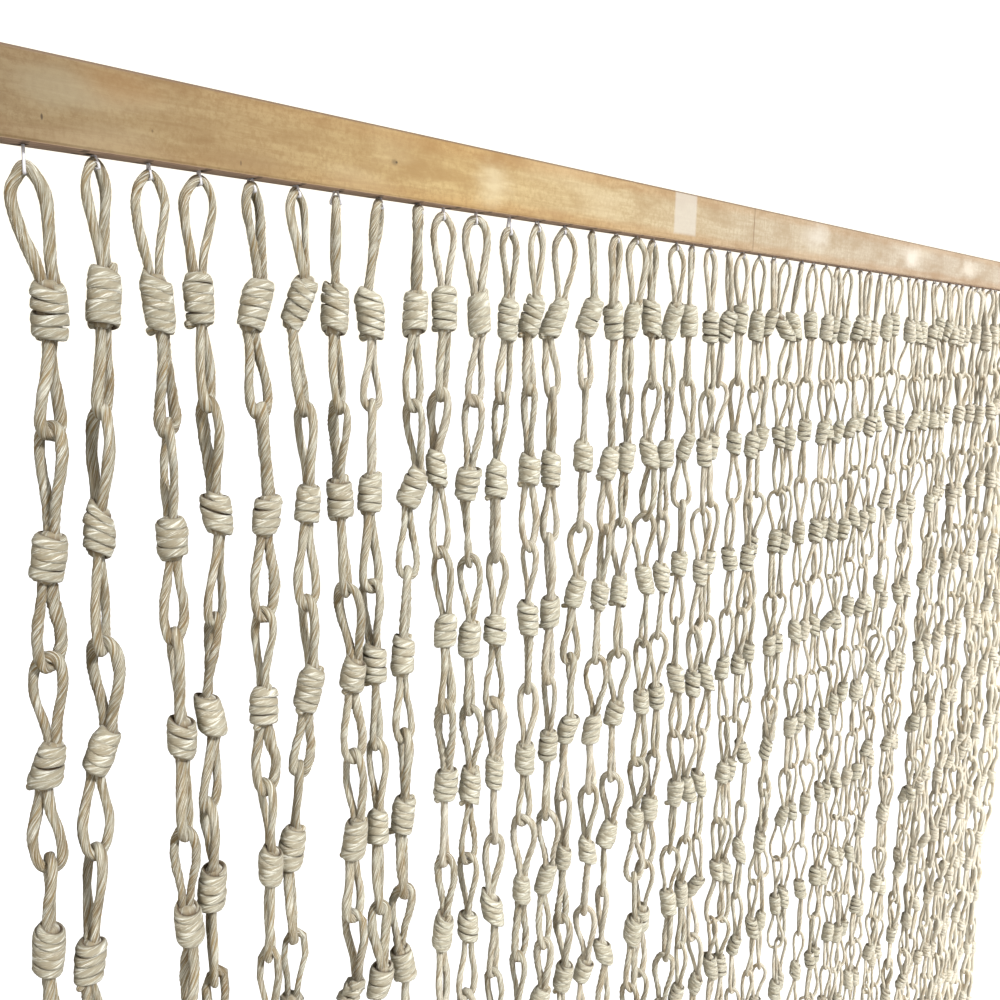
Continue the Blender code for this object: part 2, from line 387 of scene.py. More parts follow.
# Shares of a loop's half width and length, from the knot round to the knot
HOOK_CONTROLS = np.array((
    (-0.32, -0.12), (-0.32, 0.02), (-0.42, 0.30), (-1.10, 0.58), (-1.16, 0.92), (-0.60, 1.06),
    (0.0, 1.08),
    (0.60, 1.06), (1.16, 0.92), (1.10, 0.58), (0.42, 0.30), (0.32, 0.02), (0.32, -0.12),
))
ARCH_CONTROLS = np.array((
    (-0.32, -0.10), (-0.32, 0.03), (-0.56, 0.28), (-0.98, 0.56), (-1.16, 0.86), (-0.50, 1.02),
    (0.0, 1.10),
    (0.50, 1.02), (1.16, 0.86), (0.98, 0.56), (0.56, 0.28), (0.32, 0.03), (0.32, -0.10),
))
LEFT_BULGE = slice(3, 6)
RIGHT_BULGE = slice(7, 10)
FREE_CONTROLS = slice(2, 11)
# How unlike each other the loops are
BULGES = (0.82, 1.14)
CONTROL_SHIFT = 0.04
CORD_SIZES = (0.88, 1.18)
TWIST_EASE = 1.5
LOOP_BOW = 1.2
LOOP_SAG = 0.8
# How much painted shade a loop gets at its ends and in its middle
LOOP_SHADE = 0.55

DETAILS = {
    # level: (steps along a loop, columns round it, steps in a wrap's turn, corners of the wrap's section)
    "close": (48, 14, 20, 8),
    "near": (28, 10, 12, 8),
    "far": (15, 6, 9, 5),
    "low": (10, 4, 5, 4),
}
# Corners of a wrap's section, as shares of its half width and half thickness
WRAP_SECTIONS = {
    8: (
        (1.0, 0.0), (0.92, 0.72), (0.5, 1.0), (-0.5, 1.0),
        (-0.92, 0.72), (-1.0, 0.0), (-0.7, -1.0), (0.7, -1.0),
    ),
    5: ((1.0, 0.3), (0.65, 1.0), (-0.65, 1.0), (-1.0, 0.3), (0.0, -1.0)),
    4: ((0.9, 0.95), (-0.9, 0.95), (-1.0, -0.9), (1.0, -0.9)),
}
# How much painted shade a corner gets whose share of the half thickness is above a limit
WRAP_CREVICE_SHADES = ((0.9, 0.0), (0.6, 0.22), (-0.5, 0.9), (-1.1, 1.0))
WRAP_HALF_WIDTH = 1.9
WRAP_HALF_THICKNESS = 0.85
WRAP_LAY = 0.2
WRAP_RISE = 3.35
# The part of a turn that stays level at either end, and the part that a wrap's end tapers over
LEVEL_TURN = 0.35
TAPER_TURN = 0.2
TAPERED_WIDTH = 0.6
TAPERED_DEPTH = 1.2
# How unlike each other the knots are
WRAP_WIDTHS = (0.94, 1.16)
WRAP_RISES = (0.94, 1.18)
WRAP_STARTS = (0.75, 1.35)
WRAP_SLANT = 0.5
SLANT_SPREAD = 0.8
TOP_SLANTS = (-0.2, 2.2)
WRAP_TILT = 0.22
KNOT_RADII = (4.9, 5.6)
MEAN_WRAP_RADIUS = 5.0
TOP_TAPERS = (0.16, 0.46)
BOTTOM_TAPERS = (0.12, 0.36)
NUB_SHARE = 0.42
weights_for = {level: spline_weights(len(HOOK_CONTROLS), DETAILS[level][0]) for level in DETAILS}


def make_loop(rng, controls, foot, end, face, half_width, radius, most_twist, level, tone):
    """An open loop of cord from a knot out to a point past the link it hooks through."""
    columns = DETAILS[level][1]
    out = end - foot
    length = np.linalg.norm(out)
    out = out / length
    flat = unit(face - (face @ out) * out)
    normal = np.cross(flat, out)
    controls = controls.copy()
    controls[LEFT_BULGE, 0] *= rng.uniform(*BULGES)
    controls[RIGHT_BULGE, 0] *= rng.uniform(*BULGES)
    free = controls[FREE_CONTROLS]
    free[:, 1] += rng.uniform(-CONTROL_SHIFT, CONTROL_SHIFT, len(free))
    line = weights_for[level] @ controls
    line[:, 0] *= half_width / max(np.abs(line[:, 0]).max(), 0.1)
    line[:, 1] *= length / line[:, 1].max()
    radius = radius * rng.uniform(*CORD_SIZES)
    share = np.clip(line[:, 1] / length, 0, 1)
    twist = math.radians(rng.uniform(-most_twist, most_twist)) * (1 - share) ** TWIST_EASE
    bow = rng.uniform(-LOOP_BOW, LOOP_BOW) * np.sin(math.pi * share) * np.sign(line[:, 0])
    across = line[:, :1] * (np.cos(twist)[:, None] * flat + np.sin(twist)[:, None] * normal)
    sag = rng.uniform(-LOOP_SAG, LOOP_SAG) * np.sin(math.pi * share)
    path = foot + across + line[:, 1:] * out + bow[:, None] * normal + sag[:, None] * flat
    return sweep_cord(rng, path, normal, radius, columns, tone, LOOP_SHADE)


def wrap_crevice_shade(share):
    """How much painted shade a corner of a wrap's section gets."""
    return next(shade_amount for limit, shade_amount in WRAP_CREVICE_SHADES if share > limit)


def make_knot(rng, centre, axis, right, lean, height, size, radius, level, tone):
    """The knot: a flattened cord wound four to six times round the legs, drawn in at both ends."""
    turn_steps, section = DETAILS[level][2:]
    detailed = level in ("close", "near")
    side = unit(right - (right @ axis) * axis)
    other = np.cross(axis, side)
    half = WRAP_HALF_WIDTH * rng.uniform(*WRAP_WIDTHS)
    turns = (height - 2 * half) / (WRAP_RISE * rng.uniform(*WRAP_RISES)) + 2 * LEVEL_TURN
    steps = int(turns * turn_steps)
    q = np.linspace(0, turns, steps)
    phi = math.pi * rng.uniform(*WRAP_STARTS) - 2 * math.pi * q
    climb = np.clip((q - LEVEL_TURN) / (turns - 2 * LEVEL_TURN), 0, 1)
    rise = -height / 2 + half + (height - 2 * half) * climb
    up = rise / (height / 2)
    slant = rng.normal(WRAP_SLANT, SLANT_SPREAD) + rng.uniform(*TOP_SLANTS) * np.clip(up, 0, 1) ** 2
    rise = rise - slant * np.cos(phi) + rng.normal(0, 0.5) * np.sin(phi) + wobble(rng, q * 4.3, 0.5)
    outer = size * rng.uniform(*KNOT_RADII) * (1 + rng.normal(0, 0.05) * up)
    outer = outer + wobble(rng, q * 6.0, 0.3) + 0.2 * np.sin(2 * phi + rng.uniform(0, 6.3))
    start = np.clip(np.minimum(q, turns - q) / TAPER_TURN, 0, 1)
    start = start * start * (3 - 2 * start)
    wide = half * (1 + wobble(rng, q * 2.3, 0.14)) * (TAPERED_WIDTH + (1 - TAPERED_WIDTH) * start)
    shape = np.array(WRAP_SECTIONS[section])[::-1]
    level_up = rise[:, None] + wide[:, None] * shape[None, :, 0]
    drawn_in = end_taper(level_up / (height / 2), rng.uniform(*TOP_TAPERS), rng.uniform(*BOTTOM_TAPERS))
    reach = (outer - TAPERED_DEPTH * (1 - start))[:, None] * drawn_in
    reach = reach - WRAP_HALF_THICKNESS * (1 - shape[None, :, 1])
    reach = reach + rng.uniform(-WRAP_TILT, WRAP_TILT) * shape[None, :, 0]
    radial = np.cos(phi)[:, None] * side + np.sin(phi)[:, None] * other
    shift = math.tan(math.radians(lean)) * level_up
    corners = centre + reach[..., None] * radial[:, None] + level_up[..., None] * axis
    corners = corners + shift[..., None] * side
    # Painted shade on a wrap's inner corners, where the turns meet and overlap
    crevice = [wrap_crevice_shade(share) for share in shape[:, 1]]
    across = np.linspace(0, 2 * (WRAP_HALF_WIDTH + WRAP_HALF_THICKNESS), len(shape))
    around = q * 2 * math.pi * MEAN_WRAP_RADIUS
    wraps = grid_block(corners, across, around, crevice, tone, 1.0)
    wraps["uv"][..., 0] += WRAP_LAY * wraps["uv"][..., 1]
    core_columns = 8 if detailed else 5
    blocks = [wraps, make_core(centre, axis, side, other, lean, height, size, core_columns, tone)]
    if detailed:
        places = ((-1, rng.uniform(120, 240)), (1, rng.uniform(-40, 60)))
        for pole, turn in places:
            if rng.random() > NUB_SHARE:
                continue
            angles = (pole, math.radians(turn))
            blocks.append(make_nub(rng, centre, axis, side, other, height, lean, angles, radius, tone))
    return blocks


def end_taper(up, at_top, at_bottom):
    """The share of its full radius that a knot has at a height from -1 to 1."""
    top = np.clip((up - 0.45) / 0.65, 0, 1) ** 2
    bottom = np.clip((-up - 0.5) / 0.6, 0, 1) ** 2
    return 1 - at_top * top - at_bottom * bottom


# A knot's core: distances in from its end, with the radius and the painted shade there
CORE_STEPS = np.array((0.0, 0.9, 2.8))
CORE_RADII = np.array((1.9, 3.1, 3.7))
CORE_SHADE = np.array((0.45, 0.35, 0.9))


def make_core(centre, axis, side, other, lean, height, size, columns, tone):
    """What the wraps lie on, closed at both ends, with painted shade where it shows between them."""
    angle = np.linspace(0, 2 * math.pi, columns, endpoint=False)
    ring = np.cos(angle)[:, None] * side + np.sin(angle)[:, None] * other
    heights = np.concatenate((CORE_STEPS - height / 2, height / 2 - CORE_STEPS[::-1]))
    radii = size * np.concatenate((CORE_RADII, CORE_RADII[::-1]))
    shade_amount = np.concatenate((CORE_SHADE, CORE_SHADE[::-1]))
    shift = math.tan(math.radians(lean)) * heights
    middle = centre + heights[:, None] * axis + shift[:, None] * side
    corners = middle[:, None] + radii[:, None, None] * ring[None]
    crevice = np.broadcast_to(shade_amount[:, None], (len(heights), columns))
    return grid_block(corners, angle, heights, crevice, tone, 1.0)


# A cut end: where it starts from the knot's axis, and its taper along its length
NUB_ROOT = 2.6
NUB_STEPS = np.array((0.0, 0.35, 0.6, 0.8, 0.93, 1.0))
NUB_TAPER = np.array((1.0, 1.05, 1.0, 0.92, 0.72, 0.4))
NUB_COLUMNS = 9


def make_nub(rng, centre, axis, side, other, height, lean, angles, radius, tone):
    """A cut cord end that peeps out at the knot's rim."""
    pole, angle = angles
    radial = math.cos(angle) * side - math.sin(angle) * other
    if pole < 0:
        reach = NUB_ROOT + NUB_STEPS * rng.uniform(2.0, 3.4)
        rise = -height / 2 + 1.6 - NUB_STEPS * rng.uniform(0.2, 1.6)
    else:
        reach = NUB_ROOT + NUB_STEPS * rng.uniform(0.0, 1.0)
        rise = height / 2 - 3.0 + NUB_STEPS * rng.uniform(2.2, 4.4)
    shift = math.tan(math.radians(lean)) * rise
    path = centre + reach[:, None] * radial + rise[:, None] * axis + shift[:, None] * side
    radius = radius * rng.uniform(0.75, 1.0)
    flat_normal = np.cross(radial, axis)
    return sweep_cord(rng, path, flat_normal, radius, NUB_COLUMNS, tone + 0.3, 0.0, NUB_TAPER)


# What changes from the nearest strand to the furthest: strand numbers, and the value at each of them
CORD_RADII = ((8, 15, 22, 30, 38, 46, STRANDS), (1.72, 1.74, 1.42, 1.24, 1.32, 1.62, 2.2))
KNOT_SIZES = ((8, 18, 26, 34, 42, STRANDS), (1.0, 0.98, 0.90, 0.90, 0.93, 1.0))
LOOSENESS = ((1, 12, 24, 40, STRANDS), (0.9, 1.2, 2.9, 4.2, 5.4))
# Strand tones rise to the right: partly warmer fibre, partly painted light that makes the right end paler
# and more washed out, as if lit more strongly
STRAND_TONES_AND_LIGHT = ((1, 6, 10, 34, 46, STRANDS), (-0.3, 0.0, 0.6, 1.2, 1.8, 2.6))
KNOT_SHADES = ((18, 30, 42, STRANDS), (0.25, 0.6, 0.5, 0.1))
ROWS_IN_VIEW = ((1, 8, 20, STRANDS), (4, 5, 7.5, 12.5))
CLOSE_STRANDS = 8
NEAR_STRANDS = 20


def at_strand(number, table):
    return np.interp(number, *table)


def cord_radius(number):
    """The cord of the strands in the middle is the thinnest."""
    return at_strand(number, CORD_RADII)


def sight_angle(number):
    """How far the camera's line to a strand turns from straight ahead, in degrees."""
    along = spot(number, 0, 0) - np.array(CAMERA_AT) / MM
    return math.degrees(math.atan2(along[0], along[1]))


def facing(turn):
    """A level direction this many degrees round from the rail's length."""
    turn = math.radians(turn)
    return np.array((math.cos(turn), math.sin(turn), 0.0))


def level_of(number, row):
    """How finely a link is made. What lies below the picture is the plainest."""
    if row > at_strand(number, ROWS_IN_VIEW):
        return "low"
    if number <= CLOSE_STRANDS:
        return "close"
    return "near" if number <= NEAR_STRANDS else "far"


def knot_places(number, rng):
    """The middles of a strand's knots, from the rail down. The further strands hang less evenly."""
    loose = at_strand(number, LOOSENESS)
    known = LOWER.get(number, ())
    aside = np.zeros(2)
    lower = 0.0
    places = []
    for link in range(LINKS):
        aside = EASE * aside + rng.normal(0, 1, 2) * (0.5 * loose, 0.35 * loose)
        lower = SLACK_EASE * lower + rng.normal(0, SLACK * loose)
        if number in HANG and link < MEASURED_KNOTS:
            aside[:] = 0
        if link < len(known):
            lower = known[link]
        places.append(spot(number, 1 + link, FIRST_KNOT + link * LINK_PITCH) + (*aside, -lower))
    return places


def top_turn(number):
    """How far a top loop is turned from the rail's length, in degrees."""
    if number in HANG:
        return HANG[number][0]
    return (number * TURN_STEP) % TURN_RANGE - TURN_RANGE / 2


def top_arch(number):
    """Where the middle of the cord is at the top of a strand's first loop."""
    gap = TOP_GAPS.get(number, TOP_GAP + EVERY_THIRD_GAP * (number % 3 == 1))
    return spot(number, 0, gap + cord_radius(number))


STRAND_SEED = 500
THREAD_SEED = 900
TOP_HALF_WIDTH = 5.2
TOP_TWIST = 22
PLANNED_TWIST = 40
HOOK_TWIST = 65
FIRST_HEIGHTS = (18.5, 20.5)
OTHER_HEIGHTS = (15.5, 18.8)
HOOK_SHIFTS = (1.0, 1.2, 2.0)


def hook_turn(rng, planned, gap, pole, before, sight):
    """A hooked loop's turn, and its most twist. Unless planned, it lies roughly across its partner."""
    index = 2 * (gap - 1) + (1 if pole > 0 else 0)
    if index < len(planned):
        return planned[index] - sight, PLANNED_TWIST
    if pole < 0:
        return rng.uniform(20, 110) - sight, HOOK_TWIST
    return before - 90 + rng.uniform(-30, 30), HOOK_TWIST


def make_strand(number, material):
    """A chain of links from the rail down: each knot with the loop above it and the loop below it."""
    rng = np.random.default_rng(STRAND_SEED + number)
    # A random tone, plus the painted light that makes strands further right paler
    strand_tone_and_light = rng.normal(0, 0.13) + at_strand(number, STRAND_TONES_AND_LIGHT)
    knot_shade = at_strand(number, KNOT_SHADES)
    size = at_strand(number, KNOT_SIZES)
    radius = cord_radius(number)
    knots = knot_places(number, rng)
    hooks = [top_arch(number)]
    for upper, lower in zip(knots, knots[1:]):
        hooks.append((upper + lower) / 2 + rng.uniform(-1, 1, 3) * HOOK_SHIFTS)
    hooks.append(knots[-1] + np.array((0.0, 0.0, -KNOT_LENGTH / 2 - LOOP_REACH + radius)))
    sight = sight_angle(number)
    right = facing(-sight)
    planned = GAPS.get(number, ())
    leans = LEANS.get(number, ())
    turn = top_turn(number)
    blocks = []
    for link, centre in enumerate(knots):
        level = level_of(number, link + 1)
        above, below = hooks[link], hooks[link + 1]
        axis = unit(unit(above - below) + rng.normal(0, 0.04, 3) * (1, 1, 0))
        lean = leans[link] if link < len(leans) else rng.normal(2, 8)
        height = rng.uniform(*(FIRST_HEIGHTS if link == 0 else OTHER_HEIGHTS))
        tone = strand_tone_and_light - knot_shade * rng.uniform(0.5, 1.5)
        blocks += make_knot(rng, centre, axis, right, lean, height, size, radius, level, tone)
        shift = math.tan(math.radians(lean)) * (height / 2 - 1.5)
        for pole, hook in ((1, above), (-1, below)):
            gap = link if pole > 0 else link + 1
            if gap == 0:
                controls = ARCH_CONTROLS
                most_twist = TOP_TWIST
                half_width = TOP_HALF_WIDTH * rng.uniform(0.94, 1.1)
                end = hook
            else:
                controls = HOOK_CONTROLS
                half_width = rng.uniform(3.7, 5.6) if number < 12 else rng.uniform(3.4, 6.4)
                end = hook + np.array((0.0, 0.0, pole * radius))
                turn, most_twist = hook_turn(rng, planned, gap, pole, turn, sight)
            foot = centre + pole * (axis * (height / 2 - 0.8) + right * shift)
            tone = strand_tone_and_light + rng.normal(0.08, 0.24)
            face = facing(turn)
            blocks.append(
                make_loop(rng, controls, foot, end, face, half_width, radius, most_twist, level, tone)
            )
    node = "strands_left" if number <= STRANDS // 2 else "strands_right"
    return make_piece(f"strand_{number:02d}", blocks, material, [node])


THREAD_RADIUS = 0.46
THREAD_COLUMNS = 6
THREAD_CLEARANCE = 0.3
# How far each half of a thread stays from its middle above the loop, and where it starts to draw in
THREAD_NECK = 0.30
NECK_FROM = 0.35
STRIP_OVERLAP = 0.03
HOLE_RADIUS = 0.9


def make_tie(number):
    """A thread from its hole in the strip, round the top of the loop and back."""
    rng = np.random.default_rng(THREAD_SEED + number)
    hole = spot(number, 0, -GROOVE_DEPTH / 2)
    arch = top_arch(number)
    flat = facing(top_turn(number))
    normal = np.cross(flat, (0, 0, 1.0))
    reach = cord_radius(number) + THREAD_CLEARANCE
    low = arch[2] - reach
    t = np.linspace(-1, 1, 20 if number <= 12 else 12)
    share = np.abs(t)
    drawn_in = 1 - np.clip((share - NECK_FROM) / (1 - NECK_FROM), 0, 1)
    width = reach * np.sqrt(np.clip(1 - t**4, 0, 1)) * drawn_in + THREAD_NECK
    side = np.sign(t) * np.minimum(width, reach)
    path = arch * (1 - share[:, None] ** 2) + hole * share[:, None] ** 2
    path[:, 2] = low + (hole[2] - low) * share**2.2
    path += side[:, None] * normal
    return sweep_plain(path, flat, THREAD_RADIUS * rng.uniform(0.9, 1.15), THREAD_COLUMNS)


def sweep_plain(path, reference, radius, columns):
    """A smooth round tube along a path."""
    tangent = unit(np.gradient(path, axis=0))
    side = unit(reference - (tangent @ reference)[:, None] * tangent)
    other = np.cross(tangent, side)
    angle = np.linspace(0, 2 * math.pi, columns, endpoint=False)
    corners = path[:, None] + radius * (
        np.cos(angle)[None, :, None] * side[:, None] + np.sin(angle)[None, :, None] * other[:, None]
    )
    along = np.arange(len(path), dtype=float)
    return grid_block(corners, angle, along, np.zeros((len(path), columns)), 0.0)


def box_block(low, high):
    """A box between two corners."""
    low, high = np.array(low), np.array(high)
    base = np.array(((low[0], low[1]), (high[0], low[1]), (high[0], high[1]), (low[0], high[1])))
    corners = np.array([np.column_stack((base, np.full(4, z))) for z in (low[2], high[2])])
    return grid_block(corners, np.arange(4.0), np.array((low[2], high[2])), np.zeros((2, 4)), 0.0)


def make_strips(material):
    """The strip in the rail's groove, which the threads come out of, in two halves."""
    low_y = RAIL_MIDDLE_Y - GROOVE_WIDTH / 2 - STRIP_OVERLAP
    high_y = RAIL_MIDDLE_Y + GROOVE_WIDTH / 2 + STRIP_OVERLAP
    low_z = RAIL_UNDERSIDE - STRIP_OVERLAP
    high_z = RAIL_UNDERSIDE + GROOVE_DEPTH - GAP
    end = rail_high[0] - GROOVE_END
    for side, low_x, high_x in (("left", -end, 0.0), ("right", 0.0, end)):
        block = box_block((low_x, low_y, low_z), (high_x, high_y, high_z))
        piece = make_piece(f"tie_strip_{side}", [block], material, [f"strands_{side}"])
        piece.data.polygons.foreach_set("use_smooth", np.zeros(len(piece.data.polygons), bool))


# Materials
def add_node(tree, kind, **settings):
    made = tree.nodes.new(kind)
    for key, value in settings.items():
        setattr(made, key, value)
    return made


def start_material(name):
    material = bpy.data.materials.new(name)
    material.use_nodes = True
    return material, material.node_tree, material.node_tree.nodes["Principled BSDF"]


def math_node(tree, operation, a, b, clamp=False):
    made = add_node(tree, "ShaderNodeMath", operation=operation, use_clamp=clamp)
    for socket, value in zip(made.inputs, (a, b)):
        if isinstance(value, (int, float)):
            socket.default_value = value
        else:
            tree.links.new(value, socket)
    return made.outputs[0]


def mix_colour(tree, factor, a, b, blend="MIX"):
    made = add_node(tree, "ShaderNodeMix", data_type="RGBA", blend_type=blend)
    for socket, value in zip((made.inputs[0], made.inputs[6], made.inputs[7]), (factor, a, b)):
        if isinstance(value, (int, float)):
            socket.default_value = value
        elif isinstance(value, tuple):
            socket.default_value = (*value, 1.0)
        else:
            tree.links.new(value, socket)
    return made.outputs[2]


def scaled(tree, vector, scale):
    made = add_node(tree, "ShaderNodeVectorMath", operation="MULTIPLY")
    tree.links.new(vector, made.inputs[0])
    made.inputs[1].default_value = scale
    return made.outputs[0]


def noise(tree, vector, scale, detail=3.0, roughness=0.55, distortion=0.0):
    made = add_node(tree, "ShaderNodeTexNoise")
    tree.links.new(vector, made.inputs["Vector"])
    made.inputs["Scale"].default_value = scale
    made.inputs["Detail"].default_value = detail
    made.inputs["Roughness"].default_value = roughness
    made.inputs["Distortion"].default_value = distortion
    return made.outputs["Fac"]


def ramp(tree, factor, stops, interpolation="LINEAR"):
    made = add_node(tree, "ShaderNodeValToRGB")
    tree.links.new(factor, made.inputs[0])
    made.color_ramp.interpolation = interpolation
    elements = made.color_ramp.elements
    while len(elements) < len(stops):
        elements.new(0.5)
    for element, (position, value) in zip(elements, stops):
        element.position = position
        element.color = (value, value, value, 1) if isinstance(value, (int, float)) else (*value, 1)
    return made.outputs["Color"]


def attribute(tree, name):
    return add_node(tree, "ShaderNodeAttribute", attribute_name=name).outputs["Fac"]


def bump(tree, height, strength, distance, shader):
    made = add_node(tree, "ShaderNodeBump")
    made.inputs["Strength"].default_value = strength
    made.inputs["Distance"].default_value = distance
    tree.links.new(height, made.inputs["Height"])
    tree.links.new(made.outputs[0], shader.inputs["Normal"])


def tinted(tree, colour, tint):
    """A colour multiplied by a tint."""
    return mix_colour(tree, 1.0, colour, tint, "MULTIPLY")


# The fibre's colour from the greyest and darkest tone to the warmest and lightest
FIBRE_TONES = (
    (0.0, (0.57, 0.545, 0.435)),
    (0.3, (0.71, 0.680, 0.550)),
    (0.6, (0.82, 0.805, 0.665)),
    (1.0, (1.00, 0.945, 0.800)),
)


FIBRE_STREAK = (0.285, 0.190, 0.072)
FIBRE_STAIN = (0.44, 0.30, 0.125)
FIBRE_TAN = (0.72, 0.60, 0.44)
# Painted highlight: near-white streaks along the fibre
FIBRE_HIGHLIGHT = (1.00, 0.98, 0.87)
# The colour of the painted shade where cords meet and between the wraps
FIBRE_CREVICE_SHADE = (0.12, 0.068, 0.024)
# How much the streaks are calmed on a knot's wraps, and on a light cord, where the painted crevice shade is
# thinned too
WRAP_CALM = 0.55
TONE_CALM = 0.35


def fibre_material():
    """Dry plant fibre: streaked along the cord, stained in places, with painted highlight in near-white
    streaks and painted shade where cords meet.
    """
    material, tree, shader = start_material("fibre_cord")
    uv = add_node(tree, "ShaderNodeUVMap", uv_map="fibre").outputs[0]
    place = add_node(tree, "ShaderNodeTexCoord").outputs["Object"]
    tone = attribute(tree, "tone")
    wrap = attribute(tree, "wrap")
    lines = noise(tree, scaled(tree, uv, (2.0, 0.085, 1.0)), 1.0, 4.0, 0.7)
    bands = noise(tree, scaled(tree, uv, (0.7, 0.05, 1.0)), 1.0, 2.0)
    patches = noise(tree, place, 90.0, 2.0)
    # The base colour follows real patches and the tone, which carries the painted light on the right end
    warmth_and_light = math_node(tree, "MULTIPLY", patches, 0.6)
    warmth_and_light = math_node(tree, "ADD", warmth_and_light, math_node(tree, "MULTIPLY", tone, 0.55))
    base = ramp(tree, warmth_and_light, FIBRE_TONES)
    brown = mix_colour(tree, 0.88, base, FIBRE_STREAK)
    streak = ramp(tree, lines, ((0.42, 0.0), (0.53, 1.0)))
    light = math_node(tree, "MULTIPLY", tone, TONE_CALM)
    calm = math_node(tree, "MULTIPLY", wrap, WRAP_CALM)
    calm = math_node(tree, "MAXIMUM", calm, light, True)
    base = mix_colour(tree, math_node(tree, "MAXIMUM", streak, calm), brown, base)
    stain = ramp(tree, bands, ((0.50, 0.0), (0.68, 0.8)))
    stain = math_node(tree, "MULTIPLY", stain, math_node(tree, "SUBTRACT", 1.0, calm))
    base = mix_colour(tree, stain, base, FIBRE_STAIN)
    tanned = noise(tree, scaled(tree, place, (150.0, 150.0, 60.0)), 1.0, 2.0)
    tanned = ramp(tree, tanned, ((0.50, 0.0), (0.66, 0.6)))
    tanned = math_node(tree, "MULTIPLY", tanned, math_node(tree, "SUBTRACT", 1.0, wrap, True))
    base = mix_colour(tree, tanned, base, tinted(tree, base, FIBRE_TAN))
    # Painted highlight in near-white streaks along the fibre
    highlight = ramp(tree, lines, ((0.54, 0.0), (0.62, 1.0)))
    base = mix_colour(tree, highlight, base, FIBRE_HIGHLIGHT)
    # Painted shade where cords meet, thinner on light cords
    shade_amount = ramp(tree, attribute(tree, "crevice"), ((0.15, 0.0), (1.0, 0.94)))
    shade_amount = math_node(tree, "MULTIPLY", shade_amount, math_node(tree, "SUBTRACT", 1.0, light, True))
    base = mix_colour(tree, shade_amount, base, FIBRE_CREVICE_SHADE)
    tree.links.new(base, shader.inputs["Base Color"])
    shader.inputs["Roughness"].default_value = 0.68
    shader.inputs["Specular IOR Level"].default_value = 0.35
    shader.inputs["Sheen Weight"].default_value = 0.12
    bump(tree, lines, 1.0, 0.0009, shader)
    return material


# The rail's colour at some distances from its left end, in metres
RAIL_TONES = (
    (0.0, (0.300, 0.222, 0.120)),
    (0.10, (0.460, 0.330, 0.162)),
    (0.20, (0.635, 0.468, 0.220)),
    (0.30, (0.645, 0.512, 0.291)),
    (0.45, (0.635, 0.545, 0.395)),
    (0.75, (0.660, 0.588, 0.480)),
)
WOOD_DARKER = (0.70, 0.60, 0.50)
WOOD_LIGHTER = (0.90, 0.80, 0.60)
WOOD_STAIN = (0.86, 0.66, 0.50)
TOP_RIM = (0.200, 0.130, 0.088)
UNDERSIDE = (0.78, 0.54, 0.41)
# The colour of the painted shade in the holes
HOLE_SHADE = (0.05, 0.03, 0.02)
# How far the marks of the rail's holes stray from even spacing, as a share of it
HOLE_STRAY = 0.9
# Lighter and darker marks, in metres from the rail's left end and above its middle
RAIL_MARKS = (
    # along, above, half width, half height, colour, strength, share where it begins to fade, square
    (0.0500, 0.0080, 0.0170, 0.0060, (0.38, 0.215, 0.085), 0.38, 0.0, False),
    (0.0040, -0.0080, 0.0120, 0.0050, (0.31, 0.176, 0.077), 0.60, 0.0, False),
    (0.0270, 0.0030, 0.0150, 0.0090, (0.38, 0.320, 0.205), 0.45, 0.0, False),
    (0.0940, -0.0085, 0.0240, 0.0060, (0.35, 0.230, 0.110), 0.60, 0.0, False),
    (0.0235, -0.0054, 0.0005, 0.0012, (0.06, 0.035, 0.020), 0.80, 0.4, False),
    (0.0590, -0.0040, 0.0005, 0.0006, (0.10, 0.060, 0.030), 0.50, 0.4, False),
    (0.0920, -0.0095, 0.0005, 0.0012, (0.12, 0.070, 0.040), 0.60, 0.4, False),
    (0.1635, 0.0003, 0.0026, 0.0019, (0.19, 0.135, 0.070), 0.65, 0.3, False),
    (0.1645, 0.0004, 0.0010, 0.0008, (0.05, 0.035, 0.020), 0.75, 0.3, False),
    (0.2220, 0.0010, 0.0190, 0.0150, (0.78, 0.670, 0.440), 0.65, 0.0, False),
    (0.3815, 0.0020, 0.0125, 0.0125, (0.69, 0.640, 0.560), 0.70, 0.80, True),
    (0.4610, 0.0000, 0.0010, 0.0200, (0.28, 0.175, 0.095), 0.75, 0.4, False),
    (0.5520, 0.0030, 0.0280, 0.0120, (0.78, 0.725, 0.635), 0.65, 0.0, False),
    (0.7270, 0.0012, 0.0290, 0.0115, (0.88, 0.820, 0.725), 0.70, 0.0, False),
    (0.8700, 0.0010, 0.0340, 0.0120, (0.86, 0.785, 0.670), 0.60, 0.0, False),
)


def mark_mask(tree, place, blotch, mark):
    """How strongly a mark shows: full inside, and fading to its rim, which is ragged unless square."""
    along, upward, half_width, half_height, _, strength, fade_from, square = mark
    shift = add_node(tree, "ShaderNodeVectorMath", operation="SUBTRACT")
    tree.links.new(place, shift.inputs[0])
    shift.inputs[1].default_value = (RAIL_LEFT * MM + along, 0.0, upward)
    shape = scaled(tree, shift.outputs[0], (1 / half_width, 0.0, 1 / half_height))
    if square:
        split = add_node(tree, "ShaderNodeSeparateXYZ")
        tree.links.new(shape, split.inputs[0])
        sides = [math_node(tree, "ABSOLUTE", split.outputs[axis], 0.0) for axis in ("X", "Z")]
        reach = math_node(tree, "MAXIMUM", *sides)
    else:
        length = add_node(tree, "ShaderNodeVectorMath", operation="LENGTH")
        tree.links.new(shape, length.inputs[0])
        ragged = math_node(tree, "MULTIPLY", math_node(tree, "SUBTRACT", blotch, 0.5), 1.6)
        reach = math_node(tree, "ADD", length.outputs["Value"], ragged)
    return ramp(tree, reach, ((fade_from, strength), (1.0, 0.0)), "EASE")


